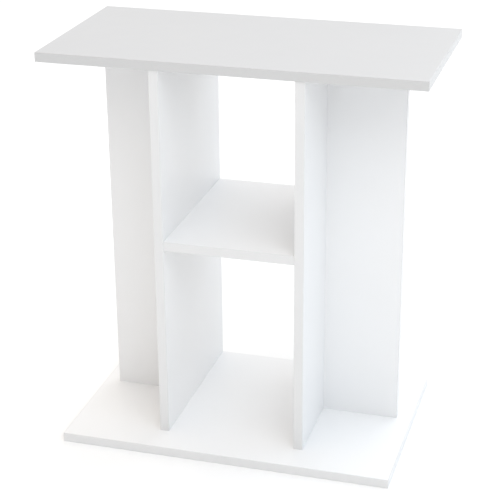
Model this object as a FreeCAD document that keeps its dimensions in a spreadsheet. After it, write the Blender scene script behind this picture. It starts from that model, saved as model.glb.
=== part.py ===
import FreeCAD, Part
import os
import re

import Sketcher
from FreeCAD import Placement, Rotation, Vector

# An open stand for a 600 mm aquarium, in white melamine-faced board, taken apart into its pieces.
# +X is to the right, +Y to the back and +Z up. The origin is on the floor, under the base board's middle.
# Two uprights run front to back and hold one shelf between them. A wing on the outer face of each
# upright runs left and right. A deep base board is below them, and a wide top board is above them.
# The back is flush, so that the stand goes against a wall, and the base board reaches out at the front.

# Driving dimensions in millimetres: alias, value, meaning.
DIMENSIONS = [
    ("overall_height", 640, "floor to the face that carries the tank"),
    ("board", 15, "thickness of every board"),
    ("edging", 1, "thickness of the edge band, which is part of each board's stated size"),
    ("edging_round", 0.6, "rounding of the band's two long outer edges"),
    ("top_width", 600, "left to right"),
    ("top_depth", 300, "front to back"),
    ("bay_width", 210, "between the inner faces of the uprights"),
    ("shelf_top", 350, "floor to the top face of the shelf"),
    ("top_overhang", 55, "top's side edges beyond the wings"),
    ("upright_setback", 2, "upright's front edge behind the top's front edge"),
    ("shelf_setback", 1, "shelf's edges behind the upright's edges, front and back"),
    ("base_side_margin", 25, "base's side edges beyond the wings"),
    ("base_front_margin", 52, "base's front edge beyond the uprights"),
    ("slack", 0.1, "side clearance of every fastener in its hole"),
    ("dowel_width", 8, "diameter of a wooden dowel"),
    ("dowel_in_face", 10, "length of a dowel inside the board whose face is drilled"),
    ("dowel_in_edge", 20, "length of a dowel inside the board whose edge is drilled"),
    ("dowel_bevel", 1, "bevel on the dowel's ends"),
    ("bottom_gap", 1, "spare depth below a fastener's tip"),
    ("bolt_thread_width", 5, "cam bolt, threaded end"),
    ("bolt_thread_length", 10, "cam bolt, threaded end"),
    ("bolt_shank_width", 7, "cam bolt, shank outside the thread"),
    ("bolt_neck_width", 4, "cam bolt, neck that the cam closes on"),
    ("bolt_neck_gap", 1, "cam bolt, end of the shank to the cam's rim"),
    ("bolt_head_width", 6.4, "cam bolt, head inside the cam"),
    ("bolt_head_length", 4, "cam bolt, head inside the cam"),
    ("cam_width", 15, "diameter of the pocket that holds a cam disc"),
    ("cam_set_in", 24, "board's edge to the cam's centre"),
    ("cam_below_bolt", 4.5, "bolt's axis to the bottom of the cam pocket"),
    ("cam_hollow_width", 9, "hollow in the cam that holds the bolt's head"),
    ("cam_hollow_height", 7, "hollow in the cam that holds the bolt's head"),
    ("cam_sunk", 0.4, "cam's face below the board's face"),
    ("cross_length", 8, "cross recess in the cam's face"),
    ("cross_width", 2, "cross recess in the cam's face"),
    ("cross_depth", 2.4, "cross recess in the cam's face"),
    ("cap_lip", 1.5, "cap's rim beyond the cam pocket all round"),
    ("cap_height", 1.2, "cap's flange above the board's face"),
    ("cap_bevel", 0.8, "how far the cap's rim slopes in"),
    ("screw_width", 7, "diameter of the base screw's hole"),
    ("screw_head_width", 10, "base screw's head"),
    ("screw_length", 50, "base screw, over the head"),
    ("screw_sunk", 0.3, "screw head below the underside"),
    ("screw_tip_width", 3, "base screw's point"),
    ("screw_tip_length", 4, "base screw's point"),
    ("socket_width", 4, "hexagon socket in the screw head, across flats"),
    ("socket_depth", 2.5, "hexagon socket in the screw head"),
    ("upright_screw_inset", 45, "upright's front or back edge to a base screw"),
    ("upright_dowel_inset", 95, "upright's front or back edge to a dowel, top and bottom"),
    ("upright_outer_inset", 40, "upright's front or back edge to an outer dowel at the top"),
    ("wing_dowel_inset", 17.5, "wing's side edges to a dowel at the top or the bottom"),
    ("side_bolt_inset", 85, "wing's top or bottom edge to a cam bolt in its side"),
    ("side_dowel_inset", 195, "wing's top or bottom edge to a dowel in its side"),
    ("shelf_bolt_inset", 50, "shelf's front or back edge to a cam bolt"),
    ("shelf_dowel_inset", 95, "shelf's front or back edge to a dowel"),
]

DOCUMENT = FreeCAD.newDocument("aquarium_stand")
SHEET = DOCUMENT.addObject("Spreadsheet::Sheet", "Sizes")
for row, (alias, value, meaning) in enumerate(DIMENSIONS, start=1):
    SHEET.set(f"A{row}", alias)
    SHEET.set(f"B{row}", str(value))
    SHEET.set(f"C{row}", meaning)
    SHEET.setAlias(f"B{row}", alias)
DOCUMENT.recompute()

# Formulas are written with the aliases alone. These are used for more than one piece.
WALL_HEIGHT = "(overall_height - 2 * board)"
WALL_MIDDLE = "(overall_height / 2)"
UPRIGHT_DEPTH = "(top_depth - upright_setback)"
UPRIGHT_X = "((bay_width + board) / 2)"
WING_INNER_X = "(bay_width / 2 + board)"
WING_OUTER_X = "(top_width / 2 - top_overhang)"
WING_WIDTH = f"({WING_OUTER_X} - {WING_INNER_X})"
WING_X = f"(({WING_INNER_X} + {WING_OUTER_X}) / 2)"
SHELF_DEPTH = f"({UPRIGHT_DEPTH} - 2 * shelf_setback)"
SHELF_Z = "(shelf_top - board / 2)"
TOP_FACE_Z = "(overall_height - board)"
BASE_WIDTH = f"(2 * ({WING_OUTER_X} + base_side_margin))"
BASE_DEPTH = f"({UPRIGHT_DEPTH} + base_front_margin)"
# How far the middle of the uprights, wings and shelf, and that of the top, are behind the base's middle.
WALL_Y = "(base_front_margin / 2)"
TOP_Y = "((base_front_margin - upright_setback) / 2)"

AXES = "XYZ"
# The origin plane across each axis, and whether its sketch looks along +axis (1) or -axis (-1).
PLANES = {"X": ("YZ_Plane", 1), "Y": ("XZ_Plane", -1), "Z": ("XY_Plane", 1)}
SIDES = {"left": -1, "right": 1}
ENDS = (-1, 1)

kept = []


def bound(formula):
    """The formula with every size read from the sheet."""
    return re.sub(r"[a-z_]+", lambda word: "Sizes." + word.group(), formula)


def bind(thing, path, formula):
    thing.setExpression(path, bound(formula))


def place(thing, centre):
    for axis in AXES:
        bind(thing, f"Placement.Base.{axis.lower()}", centre[axis])


def point(x="0", y="0", z="0"):
    return {"X": x, "Y": y, "Z": z}


def new_body(label):
    body = DOCUMENT.addObject("PartDesign::Body", label)
    body.Label = label
    return body


def new_sketch(body, name, axis, offset="0"):
    """A sketch across an axis of its body, at a distance along that axis from the body's origin."""
    role, looks = PLANES[axis]
    plane = next(each for each in body.Origin.OriginFeatures if each.Role == role)
    sketch = body.newObject("Sketcher::SketchObject", name)
    sketch.AttachmentSupport = (plane, [""])
    sketch.MapMode = "FlatFace"
    bind(sketch, "AttachmentOffset.Base.z", f"{looks} * ({offset})")
    return sketch


def constrain(sketch, name, formula, *constraint):
    """A named constraint that takes its value from the sheet."""
    index = sketch.addConstraint(Sketcher.Constraint(*constraint, 1.0))
    sketch.renameConstraint(index, name)
    bind(sketch, f"Constraints.{name}", formula)


def draw_rectangle(sketch, across, along):
    """A rectangle about the sketch's origin."""
    corners = [Vector(-1, -1, 0), Vector(1, -1, 0), Vector(1, 1, 0), Vector(-1, 1, 0)]
    for index, corner in enumerate(corners):
        sketch.addGeometry(Part.LineSegment(corner, corners[(index + 1) % 4]))
    for index in range(4):
        sketch.addConstraint(Sketcher.Constraint("Coincident", index, 2, (index + 1) % 4, 1))
        direction = ("Horizontal", "Vertical")[index % 2]
        sketch.addConstraint(Sketcher.Constraint(direction, index))
    sketch.addConstraint(Sketcher.Constraint("Symmetric", 0, 1, 2, 1, -1, 1))
    constrain(sketch, "across", across, "DistanceX", 0, 1, 0, 2)
    constrain(sketch, "along", along, "DistanceY", 1, 1, 1, 2)


def draw_circles(sketch, diameter, centres):
    """Equal circles, with their centres measured from the sketch's origin."""
    for index, (across, along) in enumerate(centres):
        circle = sketch.addGeometry(Part.Circle(Vector(index, index, 0), Vector(0, 0, 1), 1))
        constrain(sketch, f"across_{index}", across, "DistanceX", -1, 1, circle, 3)
        constrain(sketch, f"along_{index}", along, "DistanceY", -1, 1, circle, 3)
        if index == 0:
            constrain(sketch, "diameter", diameter, "Diameter", circle)
        else:
            sketch.addConstraint(Sketcher.Constraint("Equal", 0, circle))


def draw_outline(sketch, corners):
    """A closed outline of straight lines through corners given as a pair of formulas each."""
    count = len(corners)
    for index in range(count):
        start = Vector(index, index * index, 0)
        end = Vector((index + 1) % count, ((index + 1) % count) ** 2, 0)
        sketch.addGeometry(Part.LineSegment(start, end))
    for index, (across, along) in enumerate(corners):
        sketch.addConstraint(Sketcher.Constraint("Coincident", index, 1, (index - 1) % count, 2))
        constrain(sketch, f"across_{index}", across, "DistanceX", -1, 1, index, 1)
        constrain(sketch, f"along_{index}", along, "DistanceY", -1, 1, index, 1)


# ---------------------------------------------------------------- boards and their edge bands


def make_board(label, size, centre, edges):
    """A board with its body's origin at its middle, and a band on each edge named, such as +X.

    size is the finished size, so the board itself is smaller by the bands on it.
    """
    core = dict(size)
    middle = dict(centre)
    for edge in edges:
        sign, axis = edge
        core[axis] += " - edging"
        middle[axis] += f" {'-' if sign == '+' else '+'} edging / 2"
    thin = next(axis for axis in AXES if size[axis] == "board")
    across, along = (axis for axis in AXES if axis != thin)
    body = new_body(label)
    outline = new_sketch(body, label + "_outline", thin)
    draw_rectangle(outline, core[across], core[along])
    pad = body.newObject("PartDesign::Pad", label + "_panel")
    pad.Profile = outline
    pad.SideType = "Symmetric"
    bind(pad, "Length", core[thin])
    place(body, middle)
    kept.append(body)
    board = {"label": label, "body": body, "size": core, "centre": middle, "thin": thin}
    for edge in edges:
        make_band(board, edge, edges)
    return board


def make_band(board, edge, edges):
    """The band glued to one edge. A front or back band covers the ends of the side bands."""
    names = {"-X": "left", "+X": "right", "-Y": "front", "+Y": "back"}
    sign, axis = edge
    label = f"{board['label']}_{names[edge]}_band"
    outline_size = dict(board["size"])
    if axis == "Y":
        outline_size["X"] += "".join(" + edging" for other in edges if other[1] == "X")
    across, along = (each for each in AXES if each != axis)
    body = new_body(label)
    outline = new_sketch(body, label + "_outline", axis)
    draw_rectangle(outline, outline_size[across], outline_size[along])
    pad = body.newObject("PartDesign::Pad", label + "_strip")
    pad.Profile = outline
    bind(pad, "Length", "edging")
    looks = PLANES[axis][1]
    pad.Reversed = looks != int(sign + "1")
    centre = dict(board["centre"])
    centre[axis] = f"{centre[axis]} {sign} ({board['size'][axis]}) / 2"
    place(body, centre)
    DOCUMENT.recompute()
    rounding = body.newObject("PartDesign::Fillet", label + "_rounding")
    rounding.Base = (pad, long_outer_edges(pad.Shape, axis, int(sign + "1"), board["thin"]))
    bind(rounding, "Radius", "edging_round")
    kept.append(body)


def long_outer_edges(shape, axis, sign, thin):
    """The two edges of a band's outer face that run along the board, one at each of its faces."""
    letter = axis.lower()
    outer = sign * max(sign * getattr(vertex.Point, letter) for vertex in shape.Vertexes)
    names = []
    for index, edge in enumerate(shape.Edges, start=1):
        start, end = (vertex.Point for vertex in edge.Vertexes)
        on_outer_face = all(abs(getattr(each, letter) - outer) < 1e-6 for each in (start, end))
        along_board = abs(getattr(start, thin.lower()) - getattr(end, thin.lower())) < 1e-6
        if on_outer_face and along_board:
            names.append(f"Edge{index}")
    return names


def holes(board, name, face, spots):
    """A sketch on a board's face, such as -Z, and the spots measured from the board's middle."""
    sign, axis = face
    across, along = (each for each in AXES if each != axis)
    sketch = new_sketch(board["body"], name, axis, f"{sign}({board['size'][axis]}) / 2")
    centres = []
    for spot in spots:
        centre = board["centre"]
        centres.append(tuple(f"({spot[each]}) - ({centre[each]})" for each in (across, along)))
    return sketch, centres, PLANES[axis][1] != int(sign + "1")


def drill(board, name, face, spots, diameter, depth):
    """Blind holes into one face or edge of a board."""
    name = f"{board['label']}_{name}"
    sketch, centres, backwards = holes(board, name + "_spots", face, spots)
    draw_circles(sketch, diameter, centres)
    pocket = board["body"].newObject("PartDesign::Pocket", name)
    pocket.Profile = sketch
    pocket.Reversed = backwards
    bind(pocket, "Length", depth)


def drill_countersunk(board, name, face, spots):
    """Holes right through a board, with a seat for a countersunk screw head in the face named."""
    name = f"{board['label']}_{name}"
    sketch, centres, backwards = holes(board, name + "_spots", face, spots)
    draw_circles(sketch, "screw_width", centres)
    DOCUMENT.recompute()
    hole = board["body"].newObject("PartDesign::Hole", name)
    hole.Profile = sketch
    DOCUMENT.recompute()
    hole.Reversed = backwards
    hole.DepthType = "ThroughAll"
    hole.HoleCutType = "Countersink"
    hole.HoleCutCustomValues = True
    hole.HoleCutCountersinkAngle = 90
    bind(hole, "Diameter", "screw_width")
    bind(hole, "HoleCutDiameter", "screw_head_width + 2 * screw_sunk")


# ---------------------------------------------------------------- fasteners, each made once
# Each points along +Z, with its origin where the two boards meet: the board whose face is drilled
# is below the origin, and the board whose edge is drilled is above it.


def make_dowel():
    body = new_body("dowel")
    outline = new_sketch(body, "dowel_outline", "Z", "-dowel_in_face")
    draw_circles(outline, "dowel_width - 2 * slack", [("0", "0")])
    pad = body.newObject("PartDesign::Pad", "dowel_rod")
    pad.Profile = outline
    bind(pad, "Length", "dowel_in_face + dowel_in_edge")
    DOCUMENT.recompute()
    rims = [f"Edge{n}" for n, edge in enumerate(pad.Shape.Edges, 1) if len(edge.Vertexes) == 1]
    bevel = body.newObject("PartDesign::Chamfer", "dowel_bevels")
    bevel.Base = (pad, rims)
    bind(bevel, "Size", "dowel_bevel")
    return body


def turned(label, profile):
    """A piece turned about its Z axis from a profile of radius and height."""
    body = new_body(label)
    sketch = new_sketch(body, label + "_profile", "Y")
    draw_outline(sketch, profile)
    turning = body.newObject("PartDesign::Revolution", label + "_turning")
    turning.Profile = sketch
    turning.ReferenceAxis = (sketch, ["V_Axis"])
    turning.Angle = 360
    return body


def make_cam_bolt():
    """The underside of the head bears on the wall of the hollow in its cam."""
    thread = "bolt_thread_width / 2 - slack"
    shank = "bolt_shank_width / 2"
    neck = "bolt_neck_width / 2"
    head = "bolt_head_width / 2"
    neck_start = "cam_set_in - cam_width / 2 - bolt_neck_gap"
    reach = "((cam_hollow_width / 2) ^ 2 - (bolt_head_width / 2) ^ 2) ^ 0.5"
    head_start = f"cam_set_in - {reach}"
    head_end = f"{head_start} + bolt_head_length"
    profile = [("0", "-bolt_thread_length"), (thread, "-bolt_thread_length"), (thread, "0")]
    profile += [(shank, "0"), (shank, neck_start), (neck, neck_start), (neck, head_start)]
    profile += [(head, head_start), (head, head_end), ("0", head_end)]
    return turned("cam_bolt", profile)


def make_base_screw():
    """The origin is on the underside of the base, so this one alone starts at the face it enters."""
    head = "screw_head_width / 2"
    shank = "screw_width / 2 - slack"
    cone_end = "screw_sunk + screw_head_width / 2 - screw_width / 2 + slack"
    tip = "screw_tip_width / 2"
    shank_end = "screw_length - screw_tip_length"
    profile = [("0", "screw_sunk"), (head, "screw_sunk"), (shank, cone_end), (shank, shank_end)]
    profile += [(tip, "screw_length"), ("0", "screw_length")]
    body = turned("base_screw", profile)
    DOCUMENT.recompute()
    sketch = new_sketch(body, "base_screw_hexagon", "Z", "screw_sunk")
    corners = []
    for across, along in [("0", 1), ("1", 0.5), ("1", -0.5), ("0", -1), ("-1", -0.5), ("-1", 0.5)]:
        corners.append((f"{across} * socket_width / 2", f"{along} * socket_width / 3 ^ 0.5"))
    draw_outline(sketch, corners)
    socket = body.newObject("PartDesign::Pocket", "base_screw_socket")
    socket.Profile = sketch
    socket.Reversed = True
    bind(socket, "Length", "socket_depth")
    return body


# The cam disc and its cap stand on the board's face: the origin is on that face, +Z points out of the
# board, and the bolt comes in along +X.


def new_box(name, length, width, height, corner):
    box = DOCUMENT.addObject("Part::Box", name)
    bind(box, "Length", length)
    bind(box, "Width", width)
    bind(box, "Height", height)
    place(box, corner)
    return box


def new_cylinder(name, radius, height, base):
    cylinder = DOCUMENT.addObject("Part::Cylinder", name)
    bind(cylinder, "Radius", radius)
    bind(cylinder, "Height", height)
    place(cylinder, base)
    return cylinder


def make_cross(name, length, width, height, bottom):
    """Two crossed bars about the Z axis."""
    bars = []
    for number, (long_way, short_way) in enumerate([(length, width), (width, length)]):
        corner = point(f"-({long_way}) / 2", f"-({short_way}) / 2", bottom)
        bars.append(new_box(f"{name}_bar_{number}", long_way, short_way, height, corner))
    cross = DOCUMENT.addObject("Part::MultiFuse", name)
    cross.Shapes = bars
    return cross


def make_cam_disc():
    floor = "-(board / 2 + cam_below_bolt)"
    height = "board / 2 + cam_below_bolt - cam_sunk"
    disc = new_cylinder("cam_disc_blank", "cam_width / 2 - slack", height, point(z=floor))
    hollow_floor = "-(board + cam_hollow_height) / 2"
    hollow = new_cylinder(
        "cam_disc_hollow", "cam_hollow_width / 2", "cam_hollow_height", point(z=hollow_floor)
    )
    neck_way = new_cylinder(
        "cam_disc_neck_way", "bolt_neck_width / 2 + slack", "cam_width", point(z="-board / 2")
    )
    neck_way.Placement = Placement(Vector(), Rotation(Vector(0, 0, 1), Vector(1, 0, 0)))
    place(neck_way, point(z="-board / 2"))
    recess_floor = "-(cam_sunk + cross_depth)"
    recess = make_cross("cam_disc_recess", "cross_length", "cross_width", "cross_depth", recess_floor)
    tools = DOCUMENT.addObject("Part::MultiFuse", "cam_disc_cuts")
    tools.Shapes = [hollow, neck_way, recess]
    cam = DOCUMENT.addObject("Part::Cut", "cam_disc")
    cam.Base = disc
    cam.Tool = tools
    return cam


def make_cam_cap():
    flange = DOCUMENT.addObject("Part::Cone", "cam_cap_flange")
    bind(flange, "Radius1", "cam_width / 2 + cap_lip")
    bind(flange, "Radius2", "cam_width / 2 + cap_lip - cap_bevel")
    bind(flange, "Height", "cap_height")
    length = "cross_length - 2 * slack"
    width = "cross_width - 2 * slack"
    stem = make_cross("cam_cap_stem", length, width, "cross_depth", "-cross_depth")
    cap = DOCUMENT.addObject("Part::MultiFuse", "cam_cap")
    cap.Shapes = [flange, stem]
    return cap


def make_group(label, piece, spots, towards, bolt_way=None):
    """Copies of one fastener, as separate solids in one node.

    Their +Z points towards a direction, and a cam or cap also turns its +X to the way of its bolt.
    """
    rotation = Rotation(Vector(0, 0, 1), Vector(*towards))
    if bolt_way is not None:
        rotation = Rotation(Vector(*bolt_way), Vector(), Vector(*towards), "ZXY")
    copies = []
    for number, spot in enumerate(spots):
        copy = DOCUMENT.addObject("App::Link", f"{label}_{number + 1}")
        copy.LinkedObject = piece
        copy.Placement = Placement(Vector(), rotation)
        place(copy, spot)
        copies.append(copy)
    group = DOCUMENT.addObject("Part::Compound", label)
    group.Label = label
    group.Links = copies
    kept.append(group)


# ---------------------------------------------------------------- the boards

top = make_board(
    "top_board",
    point("top_width", "top_depth", "board"),
    point(y=TOP_Y, z="overall_height - board / 2"),
    ["-X", "+X", "-Y", "+Y"],
)
base = make_board(
    "base_board",
    point(BASE_WIDTH, BASE_DEPTH, "board"),
    point(z="board / 2"),
    ["-X", "+X", "-Y", "+Y"],
)
shelf = make_board(
    "shelf_board",
    point("bay_width", SHELF_DEPTH, "board"),
    point(y=WALL_Y, z=SHELF_Z),
    ["-Y", "+Y"],
)
uprights = {}
wings = {}
for side, sign in SIDES.items():
    uprights[side] = make_board(
        f"{side}_upright",
        point("board", UPRIGHT_DEPTH, WALL_HEIGHT),
        point(f"{sign} * {UPRIGHT_X}", WALL_Y, WALL_MIDDLE),
        ["-Y", "+Y"],
    )
    wings[side] = make_board(
        f"{side}_wing",
        point(WING_WIDTH, "board", WALL_HEIGHT),
        point(f"{sign} * {WING_X}", WALL_Y, WALL_MIDDLE),
        ["+X" if sign > 0 else "-X"],
    )

# ---------------------------------------------------------------- where the fasteners go


def along_upright(side, inset, z):
    """Two spots on an upright's top or bottom edge, each an inset from its front or back edge."""
    x = f"{SIDES[side]} * {UPRIGHT_X}"
    return [point(x, f"{WALL_Y} + {end} * ({UPRIGHT_DEPTH} / 2 - {inset})", z) for end in ENDS]


def along_wing(side, inset, z):
    """Two spots on a wing's top or bottom edge, each an inset from one of its side edges."""
    x = f"{SIDES[side]} * {WING_X}"
    return [point(f"{x} + {end} * ({WING_WIDTH} / 2 - {inset})", WALL_Y, z) for end in ENDS]


def wing_middle(side, z):
    """One spot half way along a wing's top or bottom edge."""
    return [point(f"{SIDES[side]} * {WING_X}", WALL_Y, z)]


def up_wing_side(side, inset, from_upright="0"):
    """Two spots up the side of a wing, some way out from the upright's outer face."""
    x = f"{SIDES[side]} * ({WING_INNER_X} + {from_upright})"
    reach = f"({WALL_HEIGHT} / 2 - {inset})"
    return [point(x, WALL_Y, f"{WALL_MIDDLE} + {end} * {reach}") for end in ENDS]


def along_shelf(side, inset, from_upright="0"):
    """Two spots on a shelf's end, some way in from the upright's inner face."""
    x = f"{SIDES[side]} * (bay_width / 2 - {from_upright})"
    return [point(x, f"{WALL_Y} + {end} * ({SHELF_DEPTH} / 2 - {inset})", SHELF_Z) for end in ENDS]


def on_face(spots, axis, value):
    """The same spots, moved onto a face across an axis."""
    return [{**spot, axis: value} for spot in spots]


DOWEL_HOLE = "dowel_width"
EDGE_DOWEL_DEPTH = "dowel_in_edge + bottom_gap"
SHANK_HOLE = "bolt_shank_width + 2 * slack"
SCREW_HOLE_DEPTH = "screw_length - board + bottom_gap"
CAM_POCKET_DEPTH = "board / 2 + cam_below_bolt"

dowel = make_dowel()
cam_bolt = make_cam_bolt()
cam_disc = make_cam_disc()
cam_cap = make_cam_cap()
base_screw = make_base_screw()


def join_with_dowels(label, face_board, face, edge_board, edge, spots, towards):
    """Dowels that stand in one board's face and reach into the other board's edge."""
    drill(face_board, label, face, spots, DOWEL_HOLE, "dowel_in_face")
    drill(edge_board, label, edge, spots, DOWEL_HOLE, EDGE_DOWEL_DEPTH)
    make_group(label, dowel, spots, towards)


def join_with_cams(label, face_board, face, edge_board, edge, spots, towards):
    """Bolts screwed into one board's face, which reach into the other board's edge to their cams."""
    drill(face_board, label, face, spots, "bolt_thread_width", "bolt_thread_length + bottom_gap")
    drill(edge_board, label, edge, spots, SHANK_HOLE, "cam_set_in")
    make_group(label, cam_bolt, spots, towards)


UP = (0, 0, 1)
DOWN = (0, 0, -1)
BACK = (0, 1, 0)

for side, sign in SIDES.items():
    outwards = (sign, 0, 0)
    inwards = (-sign, 0, 0)
    out_face = "+X" if sign > 0 else "-X"
    in_face = "-X" if sign > 0 else "+X"
    upright = uprights[side]
    wing = wings[side]

    # top board on the upright: dowels alone
    spots = along_upright(side, "upright_dowel_inset", TOP_FACE_Z)
    spots += along_upright(side, "upright_outer_inset", TOP_FACE_Z)
    join_with_dowels(f"{side}_upright_top_dowels", top, "-Z", upright, "+Z", spots, DOWN)

    # top board on the wing: dowels, and a cam that pulls it down
    spots = along_wing(side, "wing_dowel_inset", TOP_FACE_Z)
    join_with_dowels(f"{side}_wing_top_dowels", top, "-Z", wing, "+Z", spots, DOWN)
    spots = wing_middle(side, TOP_FACE_Z)
    join_with_cams(f"{side}_wing_top_bolt", top, "-Z", wing, "+Z", spots, DOWN)

    # upright and wing on the base: dowels, and screws from below
    spots = along_upright(side, "upright_dowel_inset", "board")
    join_with_dowels(f"{side}_upright_base_dowels", base, "+Z", upright, "-Z", spots, UP)
    spots = along_wing(side, "wing_dowel_inset", "board")
    join_with_dowels(f"{side}_wing_base_dowels", base, "+Z", wing, "-Z", spots, UP)
    upright_screws = along_upright(side, "upright_screw_inset", "0")
    for label, board, spots in (
        (f"{side}_upright_base_screws", upright, upright_screws),
        (f"{side}_wing_base_screw", wing, wing_middle(side, "0")),
    ):
        drill_countersunk(base, label, "-Z", spots)
        drill(board, label, "-Z", spots, "screw_width", SCREW_HOLE_DEPTH)
        make_group(label, base_screw, spots, UP)

    # wing on the upright
    spots = up_wing_side(side, "side_dowel_inset")
    join_with_dowels(f"{side}_wing_side_dowels", upright, out_face, wing, in_face, spots, outwards)
    spots = up_wing_side(side, "side_bolt_inset")
    join_with_cams(f"{side}_wing_side_bolts", upright, out_face, wing, in_face, spots, outwards)

    # shelf on the upright
    spots = along_shelf(side, "shelf_dowel_inset")
    join_with_dowels(f"{side}_shelf_dowels", upright, in_face, shelf, out_face, spots, inwards)
    spots = along_shelf(side, "shelf_bolt_inset")
    join_with_cams(f"{side}_shelf_bolts", upright, in_face, shelf, out_face, spots, inwards)

    # cam discs and their caps, in the wing's back face and in the underside of the shelf
    wing_back = f"{WALL_Y} + board / 2"
    side_cams = on_face(up_wing_side(side, "side_bolt_inset", "cam_set_in"), "Y", wing_back)
    top_cam = on_face(wing_middle(side, f"{TOP_FACE_Z} - cam_set_in"), "Y", wing_back)
    shelf_cams = along_shelf(side, "shelf_bolt_inset", "cam_set_in")
    shelf_cams = on_face(shelf_cams, "Z", "shelf_top - board")
    for label, ending, board, face, spots, out, bolt_way in (
        (f"{side}_wing_side_cam", "s", wing, "+Y", side_cams, BACK, inwards),
        (f"{side}_wing_top_cam", "", wing, "+Y", top_cam, BACK, UP),
        (f"{side}_shelf_cam", "s", shelf, "-Z", shelf_cams, DOWN, outwards),
    ):
        drill(board, label, face, spots, "cam_width", CAM_POCKET_DEPTH)
        make_group(label + ending, cam_disc, spots, out, bolt_way)
        make_group(f"{label}_cap{ending}", cam_cap, spots, out, bolt_way)

DOCUMENT.recompute()

# ---------------------------------------------------------------- check and write

for thing in DOCUMENT.Objects:
    if "Invalid" in thing.State or "Error" in thing.State:
        raise RuntimeError(f"{thing.Label} failed: {thing.State}")
for thing in kept:
    if thing.Shape.isNull() or not thing.Shape.isValid():
        raise RuntimeError(f"{thing.Label} has no valid shape")

os.makedirs("parts", exist_ok=True)
for thing in kept:
    thing.Shape.exportStep(f"parts/{thing.Label}.step")
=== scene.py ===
from math import atan2, ceil, cos, pi, radians, sin

import bmesh
import bpy
from mathutils import Matrix, Vector


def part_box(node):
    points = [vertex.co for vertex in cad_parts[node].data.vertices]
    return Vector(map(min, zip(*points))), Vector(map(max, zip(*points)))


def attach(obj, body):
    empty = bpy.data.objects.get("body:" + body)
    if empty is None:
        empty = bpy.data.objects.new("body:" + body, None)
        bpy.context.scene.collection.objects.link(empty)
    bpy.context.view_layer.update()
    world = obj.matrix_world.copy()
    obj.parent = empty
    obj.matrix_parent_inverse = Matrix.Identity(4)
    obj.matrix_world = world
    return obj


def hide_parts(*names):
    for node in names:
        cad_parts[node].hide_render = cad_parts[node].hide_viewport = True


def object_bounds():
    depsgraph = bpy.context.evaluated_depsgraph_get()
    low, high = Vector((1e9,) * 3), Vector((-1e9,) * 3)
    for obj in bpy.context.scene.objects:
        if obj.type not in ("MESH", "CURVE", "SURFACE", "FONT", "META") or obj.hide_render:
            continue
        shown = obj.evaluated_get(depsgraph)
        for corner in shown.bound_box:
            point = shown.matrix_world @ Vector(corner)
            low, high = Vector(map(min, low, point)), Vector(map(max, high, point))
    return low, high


# An open stand for an aquarium in melamine-faced board. Its boards, edge bands and cam discs are the
# frame's own nodes with fine edges and real finishes. Its dowels, bolts, screws and caps are made here.

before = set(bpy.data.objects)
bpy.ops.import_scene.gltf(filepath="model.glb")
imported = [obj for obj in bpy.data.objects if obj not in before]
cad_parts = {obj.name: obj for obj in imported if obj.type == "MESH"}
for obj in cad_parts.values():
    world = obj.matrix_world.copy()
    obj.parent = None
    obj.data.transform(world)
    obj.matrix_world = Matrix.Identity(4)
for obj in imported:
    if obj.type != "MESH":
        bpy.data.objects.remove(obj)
cad_low, cad_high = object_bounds()

MM = 0.001
BODY = "root"
CENTRE = (cad_low + cad_high) / 2
SIDES = {"left": -1, "right": 1}
X = Vector((1, 0, 0))
Y = Vector((0, 1, 0))
Z = Vector((0, 0, 1))
NODES = sorted(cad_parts)
BOARDS = [node for node in NODES if node.endswith(("_board", "_upright", "_wing"))]
BANDS = [node for node in NODES if node.endswith("_band")]
CAMS = [node for node in NODES if node.endswith(("_cam", "_cams"))]

# Corners of a frame's mesh that are nearer than this are one corner.
SEAM = 0.005 * MM
FACING_THICKNESS = 0.3 * MM


# ---------------------------------------------------------------- shader nodes


def add(tree, kind, inputs=None, **settings):
    """A node of a tree. An input is a value, or the output of another node."""
    node = tree.nodes.new(kind)
    for name, value in settings.items():
        setattr(node, name, value)
    for name, value in (inputs or {}).items():
        if isinstance(value, bpy.types.NodeSocket):
            tree.links.new(value, node.inputs[name])
        else:
            node.inputs[name].default_value = value
    return node


def maths(tree, operation, first, second=0.0):
    return add(tree, "ShaderNodeMath", {0: first, 1: second}, operation=operation).outputs[0]


def vector_maths(tree, operation, inputs):
    return add(tree, "ShaderNodeVectorMath", inputs, operation=operation).outputs


def mix(tree, factor, first, second):
    """A blend of two colours. The node's sockets 0, 6 and 7 are the ones that colours use."""
    return add(tree, "ShaderNodeMix", {0: factor, 6: first, 7: second}, data_type="RGBA").outputs[2]


def noise(tree, place, scale, detail=2.0, roughness=0.5):
    inputs = {"Vector": place, "Scale": scale, "Detail": detail, "Roughness": roughness}
    return add(tree, "ShaderNodeTexNoise", inputs).outputs["Fac"]


def remap(tree, value, from_low, from_high, to_low, to_high):
    names = ("Value", "From Min", "From Max", "To Min", "To Max")
    inputs = dict(zip(names, (value, from_low, from_high, to_low, to_high)))
    return add(tree, "ShaderNodeMapRange", inputs).outputs[0]


def bump(tree, height, distance, **normal):
    """A surface raised by a height, on top of another normal if one is given."""
    inputs = {"Height": height, "Distance": distance, "Strength": 1.0, **normal}
    return add(tree, "ShaderNodeBump", inputs).outputs[0]


def object_place(tree):
    return add(tree, "ShaderNodeTexCoord").outputs["Object"]


def new_group(name, inputs, outputs):
    """An empty node group. inputs is name: (socket kind, value), and outputs is name: socket kind."""
    tree = bpy.data.node_groups.new(name, "ShaderNodeTree")
    for label, (kind, value) in inputs.items():
        socket = tree.interface.new_socket(label, in_out="INPUT", socket_type="NodeSocket" + kind)
        if value is not None:
            socket.default_value = value
    for label, kind in outputs.items():
        tree.interface.new_socket(label, in_out="OUTPUT", socket_type="NodeSocket" + kind)
    return tree, tree.nodes.new("NodeGroupInput").outputs, tree.nodes.new("NodeGroupOutput").inputs


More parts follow.
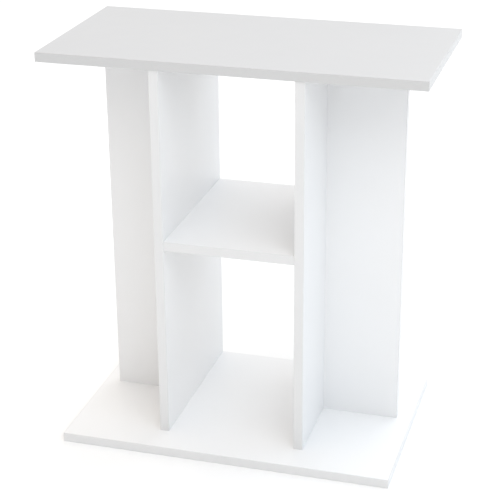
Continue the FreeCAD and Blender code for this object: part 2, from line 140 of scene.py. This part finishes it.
def use(tree, effect, **inputs):
    """The outputs of a shared effect, placed in a tree with values of its own."""
    named = {name.replace("_", " "): value for name, value in inputs.items()}
    return add(tree, "ShaderNodeGroup", named, node_tree=GROUPS[effect]).outputs


def embossed_texture():
    """A fine random emboss, with bumps of a given size, on top of a much longer wave."""
    waves_per_metre = 9.0
    tree, given, out = new_group(
        "embossed_texture",
        {"Size": ("Float", 1.0), "Depth": ("Float", 0.01), "Wave": ("Float", 0.02)},
        {"Normal": "Vector"},
    )
    place = object_place(tree)
    scale = maths(tree, "DIVIDE", 1.0, given["Size"])
    grain = noise(tree, place, scale, detail=3.0, roughness=0.55)
    wave = noise(tree, place, waves_per_metre, detail=1.0)
    waved = bump(tree, wave, given["Wave"])
    tree.links.new(bump(tree, grain, given["Depth"], Normal=waved), out["Normal"])
    return tree


def uneven_finish():
    """A colour and a roughness that drift a little from place to place, with faint rubbed patches."""
    drifts_per_metre = 5.0
    patches_per_metre = 34.0
    tree, given, out = new_group(
        "uneven_finish",
        {
            "Colour": ("Color", None),
            "Drift": ("Float", 0.02),
            "Roughness": ("Float", 0.4),
            "Spread": ("Float", 0.05),
        },
        {"Colour": "Color", "Roughness": "Float"},
    )
    place = object_place(tree)
    slow = noise(tree, place, drifts_per_metre)
    patches = noise(tree, place, patches_per_metre, detail=4.0, roughness=0.6)
    darker = maths(tree, "SUBTRACT", 1.0, maths(tree, "MULTIPLY", slow, given["Drift"]))
    scaled = vector_maths(tree, "SCALE", {0: given["Colour"], "Scale": darker})[0]
    tree.links.new(scaled, out["Colour"])
    swing = maths(tree, "MULTIPLY", maths(tree, "SUBTRACT", patches, 0.5), given["Spread"])
    tree.links.new(maths(tree, "ADD", given["Roughness"], swing), out["Roughness"])
    return tree


def worn_edges():
    """A mask that rises to a given amount along a piece's edges, broken up as by handling."""
    wear_starts, wear_full = 0.995, 0.85
    rubs_per_metre = 260.0
    rub_starts, rub_full = 0.35, 0.65
    least_wear = 0.25
    tree, given, out = new_group(
        "worn_edges",
        {"Radius": ("Float", 0.0004), "Amount": ("Float", 0.5)},
        {"Mask": "Float"},
    )
    rounded = add(tree, "ShaderNodeBevel", {"Radius": given["Radius"]}, samples=4).outputs[0]
    normal = add(tree, "ShaderNodeNewGeometry").outputs["Normal"]
    facing = vector_maths(tree, "DOT_PRODUCT", {0: rounded, 1: normal})["Value"]
    edge = remap(tree, facing, wear_starts, wear_full, 0.0, 1.0)
    rubs = noise(tree, object_place(tree), rubs_per_metre, detail=3.0, roughness=0.6)
    broken = remap(tree, rubs, rub_starts, rub_full, least_wear, 1.0)
    worn = maths(tree, "MULTIPLY", maths(tree, "MULTIPLY", edge, broken), given["Amount"])
    tree.links.new(worn, out["Mask"])
    return tree


def chipboard():
    """Pressed wood chips, pale and irregular, with darker gaps between them."""
    furthest_bend = 2.4 * MM
    fibres_per_chip = 4.0
    tone_share, fibre_share = 0.7, 0.4
    gap_width, gap_depth = 0.09, 0.75
    pale_chip = (0.66, 0.48, 0.29, 1)
    dark_chip = (0.40, 0.25, 0.13, 1)
    gap_colour = (0.20, 0.12, 0.06, 1)
    tree, given, out = new_group(
        "chipboard", {"Size": ("Float", 0.003)}, {"Colour": "Color", "Height": "Float"}
    )
    place = object_place(tree)
    scale = maths(tree, "DIVIDE", 1.0, given["Size"])
    bend = add(tree, "ShaderNodeTexNoise", {"Vector": place, "Scale": scale, "Detail": 2.0})
    centred = vector_maths(tree, "ADD", {0: bend.outputs["Color"], 1: (-0.5, -0.5, -0.5)})[0]
    shift = vector_maths(tree, "SCALE", {0: centred, "Scale": furthest_bend})[0]
    bent = vector_maths(tree, "ADD", {0: place, 1: shift})[0]
    cells = {"Vector": bent, "Scale": scale, "Randomness": 1.0}
    chips = add(tree, "ShaderNodeTexVoronoi", cells)
    edges = add(tree, "ShaderNodeTexVoronoi", cells, feature="DISTANCE_TO_EDGE")
    tone = add(tree, "ShaderNodeSeparateColor", {"Color": chips.outputs["Color"]}).outputs[0]
    fibre_scale = maths(tree, "MULTIPLY", scale, fibres_per_chip)
    fibre = noise(tree, place, fibre_scale, detail=3.0, roughness=0.65)
    toned = maths(tree, "MULTIPLY", tone, tone_share)
    mottled = maths(tree, "ADD", toned, maths(tree, "MULTIPLY", fibre, fibre_share))
    gaps = remap(tree, edges.outputs["Distance"], 0.0, gap_width, gap_depth, 0.0)
    wood = mix(tree, mottled, pale_chip, dark_chip)
    tree.links.new(mix(tree, gaps, wood, gap_colour), out["Colour"])
    tree.links.new(maths(tree, "SUBTRACT", mottled, gaps), out["Height"])
    return tree


def inside_board():
    """A mask that is 1 between a board's two faces, where its chipboard is bare: holes and raw edges."""
    tree, given, out = new_group(
        "inside_board",
        {
            "Across": ("Vector", None),
            "Middle": ("Float", 0.0),
            "Half thickness": ("Float", 0.0075),
            "Facing": ("Float", 0.0003),
        },
        {"Mask": "Float"},
    )
    along = {0: object_place(tree), 1: given["Across"]}
    height = vector_maths(tree, "DOT_PRODUCT", along)["Value"]
    depth = maths(tree, "ABSOLUTE", maths(tree, "SUBTRACT", height, given["Middle"]))
    core = maths(tree, "SUBTRACT", given["Half thickness"], given["Facing"])
    tree.links.new(maths(tree, "LESS_THAN", depth, core), out["Mask"])
    return tree


GROUPS = {
    make.__name__: make()
    for make in (embossed_texture, uneven_finish, worn_edges, chipboard, inside_board)
}


# ---------------------------------------------------------------- finishes


def new_material(name, **constants):
    """A material and its shader, with the shader's constant values set on its own sockets."""
    material = bpy.data.materials.new(name)
    material.use_nodes = True
    tree = material.node_tree
    shader = tree.nodes["Principled BSDF"]
    for socket, value in constants.items():
        shader.inputs[socket.replace("_", " ")].default_value = value
    return material, tree, shader


def plug(tree, shader, **sources):
    for socket, source in sources.items():
        tree.links.new(source, shader.inputs[socket.replace("_", " ")])


def thin_axis(node):
    """The direction through a board, the middle along it and half the board's thickness."""
    low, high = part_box(node)
    size = high - low
    across = min((X, Y, Z), key=lambda axis: abs(size.dot(axis)))
    return across, (low + high).dot(across) / 2, size.dot(across) / 2


def melamine(node, colour):
    """Printed melamine facing, satin and finely embossed, on chipboard that shows where it is cut."""
    rubbed = (0.62, 0.60, 0.57, 1)
    bare_roughness = 0.85
    bare_relief = 0.3 * MM
    across, middle, half = thin_axis(node)
    material, tree, shader = new_material(node + "_facing", IOR=1.5)
    finish = use(tree, "uneven_finish", Colour=colour, Drift=0.03, Roughness=0.34, Spread=0.1)
    emboss = use(tree, "embossed_texture", Size=0.9 * MM, Depth=0.025 * MM, Wave=0.2 * MM)
    worn = use(tree, "worn_edges", Radius=0.4 * MM, Amount=0.35)
    chips = use(tree, "chipboard", Size=2.2 * MM)
    board = {"Across": across, "Middle": middle, "Half_thickness": half, "Facing": FACING_THICKNESS}
    cut = use(tree, "inside_board", **board)["Mask"]
    faced = mix(tree, worn["Mask"], finish["Colour"], rubbed)
    bare = maths(tree, "MULTIPLY", cut, bare_roughness)
    bare_height = maths(tree, "MULTIPLY", chips["Height"], cut)
    plug(
        tree,
        shader,
        Base_Color=mix(tree, cut, faced, chips["Colour"]),
        Roughness=maths(tree, "MAXIMUM", finish["Roughness"], bare),
        Normal=bump(tree, bare_height, bare_relief, Normal=emboss["Normal"]),
    )
    return material


def rubbed_material(name, finish, emboss, worn, rubbed, **constants):
    """One uneven colour with a fine relief, and with its edges rubbed to another colour."""
    material, tree, shader = new_material(name, **constants)
    surface = use(tree, "uneven_finish", **finish)
    edges = use(tree, "worn_edges", **worn)
    plug(
        tree,
        shader,
        Base_Color=mix(tree, edges["Mask"], surface["Colour"], rubbed),
        Roughness=surface["Roughness"],
        Normal=use(tree, "embossed_texture", **emboss)["Normal"],
    )
    return material


def edge_banding(name, colour):
    """Extruded edge band, a little glossier than the board's face, with its edges rubbed darker."""
    rubbed = (0.55, 0.54, 0.53, 1)
    finish = {"Colour": colour, "Drift": 0.04, "Roughness": 0.3, "Spread": 0.08}
    emboss = {"Size": 0.6 * MM, "Depth": 0.006 * MM, "Wave": 0.15 * MM}
    worn = {"Radius": 0.5 * MM, "Amount": 0.3}
    return rubbed_material(name, finish, emboss, worn, rubbed, IOR=1.5)


def moulded_plastic(name, colour):
    """White moulded plastic with a fine spark-eroded grain, and with its edges rubbed darker."""
    rubbed = (0.5, 0.49, 0.48, 1)
    finish = {"Colour": colour, "Drift": 0.03, "Roughness": 0.42, "Spread": 0.08}
    emboss = {"Size": 0.3 * MM, "Depth": 0.01 * MM, "Wave": 0.0}
    worn = {"Radius": 0.3 * MM, "Amount": 0.3}
    return rubbed_material(name, finish, emboss, worn, rubbed, IOR=1.48)


def metal(name, colour, rubbed, roughness, grain_size, grain_depth):
    """Plated or cast metal, uneven in shine, with its edges rubbed brighter."""
    finish = {"Colour": colour, "Drift": 0.15, "Roughness": roughness, "Spread": 0.2}
    emboss = {"Size": grain_size, "Depth": grain_depth, "Wave": 0.0}
    worn = {"Radius": 0.25 * MM, "Amount": 0.7}
    return rubbed_material(name, finish, emboss, worn, rubbed, Metallic=1.0)


def beech(name):
    """Bare beech with fine grain lines along each rod, and short darker flecks."""
    squeeze_along_rod = 0.05
    grains_per_metre = 1400.0
    flecks_per_metre = 3200.0
    grain_relief = 0.05 * MM
    fleck_starts, fleck_full, darkest_fleck = 0.62, 0.7, 0.6
    smoothest, roughest = 0.55, 0.75
    pale_wood = (0.66, 0.46, 0.26, 1)
    dark_wood = (0.50, 0.32, 0.16, 1)
    fleck_colour = (0.30, 0.17, 0.08, 1)
    material, tree, shader = new_material(name, IOR=1.45)
    along = add(tree, "ShaderNodeAttribute", attribute_name="own_place").outputs["Vector"]
    stretch = {"Vector": along, "Scale": (1.0, 1.0, squeeze_along_rod)}
    place = add(tree, "ShaderNodeMapping", stretch).outputs[0]
    grain = noise(tree, place, grains_per_metre, detail=3.0, roughness=0.6)
    specks = noise(tree, place, flecks_per_metre, detail=1.0)
    flecks = remap(tree, specks, fleck_starts, fleck_full, 0.0, darkest_fleck)
    wood = mix(tree, grain, pale_wood, dark_wood)
    plug(
        tree,
        shader,
        Base_Color=mix(tree, flecks, wood, fleck_colour),
        Roughness=remap(tree, grain, 0.3, 0.7, smoothest, roughest),
        Normal=bump(tree, grain, grain_relief),
    )
    return material


WHITE = (0.91, 0.912, 0.915, 1)
PALE_GREY = (0.605, 0.61, 0.62, 1)
BAND_WHITE = (0.82, 0.82, 0.82, 1)
BAND_GREY = (0.65, 0.65, 0.65, 1)
CAP_WHITE = (0.78, 0.78, 0.77, 1)
PLATED = (0.72, 0.73, 0.76, 1)
PLATED_WORN = (0.86, 0.86, 0.87, 1)
CAST = (0.46, 0.46, 0.47, 1)
CAST_WORN = (0.68, 0.68, 0.69, 1)

white_band = edge_banding("white_band", BAND_WHITE)
grey_band = edge_banding("grey_band", BAND_GREY)
cap_plastic = moulded_plastic("cap_plastic", CAP_WHITE)
bare_beech = beech("bare_beech")
zinc_plate = metal(
    "zinc_plate", PLATED, PLATED_WORN, roughness=0.3, grain_size=0.5 * MM, grain_depth=0.004 * MM
)
cast_zinc = metal(
    "cast_zinc", CAST, CAST_WORN, roughness=0.5, grain_size=0.35 * MM, grain_depth=0.02 * MM
)


# ---------------------------------------------------------------- boards, bands and cams from the frame

BOARD_ARRIS = 0.12 * MM
BAND_ARRIS = 0.08 * MM
CAM_ARRIS = 0.2 * MM
ARRIS_ANGLE = radians(40)


def finish_node(node, material, arris):
    """A node of the frame with its material and with fine bevels along its edges."""
    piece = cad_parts[node]
    for index in range(len(piece.material_slots)):
        piece.material_slots[index].link = "OBJECT"
        piece.material_slots[index].material = material
    weld = piece.modifiers.new("joined", "WELD")
    weld.merge_threshold = SEAM
    bevel = piece.modifiers.new("arris", "BEVEL")
    bevel.width = arris
    bevel.segments = 2
    bevel.limit_method = "ANGLE"
    bevel.angle_limit = ARRIS_ANGLE
    bevel.harden_normals = True


for node in BOARDS:
    colour = PALE_GREY if node == "top_board" else WHITE
    finish_node(node, melamine(node, colour), BOARD_ARRIS)
for node in BANDS:
    finish_node(node, grey_band if node.startswith("top_board") else white_band, BAND_ARRIS)
for node in CAMS:
    finish_node(node, cast_zinc, CAM_ARRIS)


# ---------------------------------------------------------------- fasteners
# Each is made once along +Z from the near end of its solid, and copied into every solid of its node.


def solids(node):
    """The lowest and highest corner of each separate solid of a node."""
    shape = bmesh.new()
    shape.from_mesh(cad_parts[node].data)
    bmesh.ops.remove_doubles(shape, verts=shape.verts, dist=SEAM)
    boxes = []
    seen = set()
    for start in shape.verts:
        if start in seen:
            continue
        seen.add(start)
        reached = [start]
        for vert in reached:
            for edge in vert.link_edges:
                other = edge.other_vert(vert)
                if other not in seen:
                    seen.add(other)
                    reached.append(other)
        corners = [[pick(vert.co[axis] for vert in reached) for axis in range(3)] for pick in (min, max)]
        boxes.append(tuple(Vector(corner) for corner in corners))
    shape.free()
    return boxes


def extruded(shape, face, keep=False):
    """The far face of a new wall around a face, which is itself taken away unless it closes the shape."""
    made = bmesh.ops.extrude_face_region(shape, geom=[face])["geom"]
    if not keep:
        bmesh.ops.delete(shape, geom=[face], context="FACES_ONLY")
    return next(each for each in made if isinstance(each, bmesh.types.BMFace))


def stacked(rings, segments):
    """A closed round shape about Z through rings of radius and height, with a flat face at each end."""
    shape = bmesh.new()
    radius, height = rings[0]
    start = Matrix.Translation((0, 0, height))
    bmesh.ops.create_circle(shape, cap_ends=True, segments=segments, radius=radius, matrix=start)
    shape.faces.ensure_lookup_table()
    end = shape.faces[0]
    for number, (next_radius, next_height) in enumerate(rings[1:]):
        end = extruded(shape, end, keep=number == 0)
        scale = Matrix.Diagonal((next_radius / radius, next_radius / radius, 1, 1))
        bmesh.ops.transform(shape, matrix=scale, verts=end.verts)
        bmesh.ops.translate(shape, vec=(0, 0, next_height - height), verts=end.verts)
        radius, height = next_radius, next_height
    bmesh.ops.recalc_face_normals(shape, faces=shape.faces)
    return shape


def join(shape, other):
    """Adds another shape to a shape, as a shell of its own."""
    carrier = bpy.data.meshes.new("carrier")
    other.to_mesh(carrier)
    other.free()
    shape.from_mesh(carrier)
    bpy.data.meshes.remove(carrier)
    return shape


def thread(core, crest, pitch, bottom, top):
    """A rod with a helical thread about Z, cut flat at both ends from a longer one."""
    steps = 24
    turns_below = 2
    turns = ceil((top - bottom) / pitch) + turns_below + 1
    one_turn = ((core, 0), (core, 0.45), (crest, 0.68), (crest, 0.76))
    shape = bmesh.new()
    outline = []
    for turn in range(turns):
        root = bottom + (turn - turns_below) * pitch
        outline += [(radius, root + share * pitch) for radius, share in one_turn]
    verts = [shape.verts.new((radius, 0, height)) for radius, height in outline]
    edges = [shape.edges.new(pair) for pair in zip(verts, verts[1:])]
    rise = (0, 0, pitch / steps)
    bmesh.ops.spin(shape, geom=verts + edges, axis=Z, angle=2 * pi, steps=steps, dvec=rise)
    bmesh.ops.remove_doubles(shape, verts=shape.verts, dist=pitch / 100)
    cut_flat(shape, bottom, -Z)
    cut_flat(shape, top, Z)
    bmesh.ops.dissolve_degenerate(shape, edges=shape.edges, dist=pitch / 100)
    bmesh.ops.recalc_face_normals(shape, faces=shape.faces)
    return shape


def cut_flat(shape, height, outwards):
    """Takes away what lies outwards of a height and closes the shape there."""
    on_the_cut = 0.001 * MM
    everything = list(shape.verts) + list(shape.edges) + list(shape.faces)
    bmesh.ops.bisect_plane(
        shape, geom=everything, plane_co=Z * height, plane_no=outwards, clear_outer=True
    )
    rim = [edge for edge in shape.edges if edge.is_boundary]
    rim = [edge for edge in rim if all(abs(vert.co.z - height) < on_the_cut for vert in edge.verts)]
    bmesh.ops.holes_fill(shape, edges=rim, sides=0)


def narrow_end(shape, start, end, share):
    """Tapers a shape towards a share of its width between two heights."""
    for vert in shape.verts:
        along = min(max((vert.co.z - start) / (end - start), 0), 1)
        vert.co.xy *= 1 - along * (1 - share)


def fluted_dowel(length, width):
    """A beech dowel with straight glue flutes all round and bevelled ends."""
    flutes = 20
    points_per_flute = 3
    flute_depth = 0.28 * MM
    bevel = 1 * MM
    radius = width / 2
    points = flutes * points_per_flute
    rings = [(radius - bevel, 0), (radius, bevel), (radius, length - bevel), (radius - bevel, length)]
    shape = stacked(rings, segments=points)
    for vert in shape.verts:
        around = round(atan2(vert.co.y, vert.co.x) / (2 * pi) * points)
        if around % points_per_flute == 0 and bevel / 2 < vert.co.z < length - bevel / 2:
            vert.co.xy *= 1 - flute_depth / radius
    return shape


def cam_bolt(length, width):
    """A bolt for a cam: head, neck, shank and a coarse thread, from the head's end."""
    head = 3.2 * MM
    head_length = 4 * MM
    neck = 2 * MM
    neck_length = 5.34 * MM
    shank = width / 2
    core = 1.75 * MM
    crest = 2.4 * MM
    pitch = 2.2 * MM
    thread_length = 10 * MM
    tip_length = 2 * MM
    ease = 0.4 * MM
    shank_start = head_length + neck_length
    shoulder = length - thread_length
    rings = [
        (head - 2 * ease, 0),
        (head, 2 * ease),
        (head, head_length - ease),
        (head - ease, head_length),
        (neck, head_length),
        (neck, shank_start),
        (shank - ease, shank_start),
        (shank, shank_start + ease),
        (shank, shoulder - ease),
        (shank - ease, shoulder),
    ]
    screw = thread(core, crest, pitch, shoulder - ease, length)
    narrow_end(screw, length - tip_length, length, share=0.6)
    return join(stacked(rings, segments=32), screw)


def cut_socket(shape, across_flats, depth):
    """A hexagon socket in the face at height 0."""
    face = min(shape.faces, key=lambda each: each.calc_center_median().z)
    outer = max(vert.co.xy.length for vert in face.verts)
    rim = across_flats / 2 / cos(pi / 6)
    bmesh.ops.inset_region(shape, faces=[face], thickness=outer - rim, use_even_offset=False)
    for vert in face.verts:
        angle = atan2(vert.co.y, vert.co.x) % (pi / 3) - pi / 6
        vert.co.xy = vert.co.xy.normalized() * across_flats / 2 / cos(angle)
    floor = extruded(shape, face)
    bmesh.ops.translate(shape, vec=(0, 0, depth), verts=floor.verts)
    bmesh.ops.recalc_face_normals(shape, faces=shape.faces)


def base_screw(length, width):
    """A countersunk board screw with a hexagon socket, from the face of its head."""
    head = width / 2
    lip = 0.1 * MM
    socket_width = 4 * MM
    socket_depth = 2.5 * MM
    shank = 3.4 * MM
    shank_end = 13 * MM
    core = 2.45 * MM
    pitch = 3 * MM
    tip_length = 5 * MM
    overlap = 0.5 * MM
    rings = [(head - lip, 0), (head - lip / 2, lip / 2), (shank, head - shank), (shank, shank_end)]
    shape = stacked(rings, segments=48)
    cut_socket(shape, socket_width, socket_depth)
    screw = thread(core, shank, pitch, shank_end - overlap, length)
    narrow_end(screw, length - tip_length, length, share=0.42)
    return join(shape, screw)


def domed_cap(length, width):
    """A press-in cap: a low dome with a rolled rim, on a crossed stem that ends at height 0."""
    flange_height = 1.2 * MM
    stem_length = 7.8 * MM
    stem_width = 1.8 * MM
    stem_corner = 0.3 * MM
    dome_width_share = 0.965
    dome_start_share, dome_rise_share = 0.45, 0.5
    radius = width / 2
    face = length - flange_height
    # The rolled rim, as how far it is inside the full radius and its height above the board's face.
    rim = ((0.22 * MM, 0), (0.1 * MM, 0.12 * MM), (0.34 * MM, 0.42 * MM))
    rings = [(radius - inset, face + height) for inset, height in rim]
    for angle in (12, 25, 38, 51, 64, 77):
        height = flange_height * (dome_start_share + dome_rise_share * sin(radians(angle)))
        rings.append((radius * cos(radians(angle)) * dome_width_share, face + height))
    shape = stacked(rings, segments=64)
    for long_side, short_side in ((stem_length, stem_width), (stem_width, stem_length)):
        bar = bmesh.new()
        size = Matrix.Diagonal((long_side, short_side, face, 1))
        bmesh.ops.create_cube(bar, size=1, matrix=Matrix.Translation((0, 0, face / 2)) @ size)
        upright = [edge for edge in bar.edges if abs(edge.verts[0].co.z - edge.verts[1].co.z) > face / 2]
        bmesh.ops.bevel(
            bar, geom=upright, offset=stem_corner, affect="EDGES", segments=2, profile=0.5, material=-1
        )
        join(shape, bar)
    return shape


def place_at(solid, towards, spin):
    """The place of a fastener that runs along towards from the near end of its solid, spun by degrees."""
    low, high = solid
    half_length = abs((high - low).dot(towards)) / 2
    near_end = Matrix.Translation((low + high) / 2 - towards * half_length)
    turn = towards.to_track_quat("Z", "Y").to_matrix().to_4x4()
    return near_end @ turn @ Matrix.Rotation(radians(spin), 4, "Z")


def fit_fasteners(node, name, make, towards, material, spin=0):
    """A fastener in every solid of a node, spun about its own axis, as one piece for that node.

    Its own_place is the place on the fastener itself, moved apart so that no two copies look the same.
    """
    apart = Vector((20 * MM, 0, 0))
    sharp_edge = radians(35)
    boxes = solids(node)
    size = boxes[0][1] - boxes[0][0]
    length = abs(size.dot(towards))
    width = max(abs(size.dot(axis)) for axis in (X, Y, Z) if not axis.dot(towards))
    pattern = bpy.data.meshes.new("pattern")
    made = make(length, width)
    made.to_mesh(pattern)
    made.free()
    shape = bmesh.new()
    own_place = shape.verts.layers.float_vector.new("own_place")
    for number, solid in enumerate(boxes):
        first = len(shape.verts)
        shape.from_mesh(pattern)
        shape.verts.ensure_lookup_table()
        copy = shape.verts[first:]
        for vert in copy:
            vert[own_place] = vert.co + number * apart
        bmesh.ops.transform(shape, matrix=place_at(solid, towards, spin), verts=copy)
    mesh = bpy.data.meshes.new(name)
    shape.to_mesh(mesh)
    shape.free()
    bpy.data.meshes.remove(pattern)
    mesh.materials.append(material)
    mesh.shade_smooth()
    mesh.set_sharp_from_angle(angle=sharp_edge)
    piece = bpy.data.objects.new(name, mesh)
    bpy.context.scene.collection.objects.link(piece)
    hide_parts(node)
    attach(piece, BODY)


for side, sign in SIDES.items():
    outwards = X * sign
    for joint, towards in (
        ("upright_top", -Z),
        ("wing_top", -Z),
        ("upright_base", Z),
        ("wing_base", Z),
        ("wing_side", outwards),
        ("shelf", -outwards),
    ):
        name = f"{side}_{joint}_fluted_dowels"
        node = f"{side}_{joint}_dowels"
        fit_fasteners(node, name, fluted_dowel, towards, bare_beech)
    for node, towards in (
        (f"{side}_wing_top_bolt", Z),
        (f"{side}_wing_side_bolts", -outwards),
        (f"{side}_shelf_bolts", outwards),
    ):
        name = node.replace("bolt", "threaded_bolt")
        fit_fasteners(node, name, cam_bolt, towards, zinc_plate)
    for node, towards in (
        (f"{side}_wing_top_cam_cap", Y),
        (f"{side}_wing_side_cam_caps", Y),
        (f"{side}_shelf_cam_caps", -Z),
    ):
        name = node.replace("cap", "domed_cap")
        fit_fasteners(node, name, domed_cap, towards, cap_plastic)
    for node, spin in ((f"{side}_upright_base_screws", 30), (f"{side}_wing_base_screw", 0)):
        name = node.replace("screw", "threaded_screw")
        fit_fasteners(node, name, base_screw, Z, zinc_plate, spin)


# ---------------------------------------------------------------- floor, lights and camera

FLOOR_RADIUS = 200
FLOOR_WHITE = (0.97, 0.97, 0.97, 1)
ROOM_LEVEL = 0.23
ROOM_SHARES = {"X": 0.14, "Y": 0.40, "Z": 1.04}
WARM_LIGHT = (1.12, 1.0, 0.88, 1)
COOL_LIGHT = (0.89, 1.01, 1.13, 1)
SENSOR_WIDTH = 36
FURTHEST_SEEN = 500


def floor_finish():
    material, tree, shader = new_material("floor_finish", Roughness=0.9)
    finish = use(tree, "uneven_finish", Colour=FLOOR_WHITE, Drift=0.01, Roughness=0.9, Spread=0.05)
    plug(tree, shader, Base_Color=finish["Colour"])
    return material


def lay_floor():
    shape = bmesh.new()
    bmesh.ops.create_circle(shape, cap_ends=True, segments=96, radius=FLOOR_RADIUS)
    mesh = bpy.data.meshes.new("floor")
    shape.to_mesh(mesh)
    shape.free()
    mesh.materials.append(floor_finish())
    floor = bpy.data.objects.new("floor", mesh)
    bpy.context.scene.collection.objects.link(floor)


def direction(azimuth, elevation):
    """From the stand towards a place at an azimuth, 0 in front and 90 on the right, and an elevation."""
    around, up = radians(azimuth), radians(elevation)
    return Vector((sin(around) * cos(up), -cos(around) * cos(up), sin(up)))


def hang_light(name, azimuth, elevation, distance, size, power):
    """A square white soft light that looks at the middle of the stand."""
    light = bpy.data.lights.new(name, "AREA")
    light.shape = "SQUARE"
    light.size = size
    light.energy = power
    lamp = bpy.data.objects.new(name, light)
    bpy.context.scene.collection.objects.link(lamp)
    away = direction(azimuth, elevation)
    lamp.location = CENTRE + away * distance
    lamp.rotation_euler = away.to_track_quat("Z", "Y").to_euler()
    lamp.visible_camera = False


def light_room():
    """A plain pale room, bright overhead and behind, cool on the right and warm on the left.

    What shows of it above the floor is plain white.
    """
    world = bpy.data.worlds.new("studio")
    bpy.context.scene.world = world
    world.use_nodes = True
    tree = world.node_tree
    place = add(tree, "ShaderNodeTexCoord").outputs["Generated"]
    along = add(tree, "ShaderNodeSeparateXYZ", {0: place}).outputs
    strength = ROOM_LEVEL
    for axis, share in ROOM_SHARES.items():
        side = maths(tree, "MAXIMUM", along[axis], 0.0)
        strength = maths(tree, "ADD", maths(tree, "MULTIPLY", side, share), strength)
    background = tree.nodes["Background"]
    across = remap(tree, along["X"], -1.0, 1.0, 0.0, 1.0)
    tree.links.new(mix(tree, across, WARM_LIGHT, COOL_LIGHT), background.inputs["Color"])
    tree.links.new(strength, background.inputs["Strength"])
    backdrop = add(tree, "ShaderNodeBackground", {"Color": (1, 1, 1, 1), "Strength": 1.0}).outputs[0]
    seen = add(tree, "ShaderNodeLightPath").outputs["Is Camera Ray"]
    sources = {0: seen, 1: background.outputs[0], 2: backdrop}
    room = add(tree, "ShaderNodeMixShader", sources).outputs[0]
    tree.links.new(room, tree.nodes["World Output"].inputs["Surface"])


def set_camera(aim, azimuth, elevation, distance, lens, tilt):
    camera = bpy.data.cameras.new("camera")
    camera.lens = lens
    camera.sensor_width = SENSOR_WIDTH
    camera.clip_end = FURTHEST_SEEN
    stand = bpy.data.objects.new("camera", camera)
    bpy.context.scene.collection.objects.link(stand)
    away = direction(azimuth, elevation)
    stand.location = aim + away * distance
    level = away.to_track_quat("Z", "Y").to_matrix()
    stand.rotation_euler = (level @ Matrix.Rotation(radians(tilt), 3, "Z")).to_euler()
    bpy.context.scene.camera = stand


lay_floor()
light_room()
hang_light("front_softbox", azimuth=36, elevation=48, distance=3.2, size=2.0, power=20)
hang_light("back_softbox", azimuth=157, elevation=34, distance=3.2, size=2.2, power=17)
bpy.context.scene.view_settings.view_transform = "Standard"
aim = CENTRE - Vector((8.2, -25.0, 32.6)) * MM
set_camera(aim, azimuth=16.44, elevation=23.12, distance=2.409, lens=105.93, tilt=-0.465)
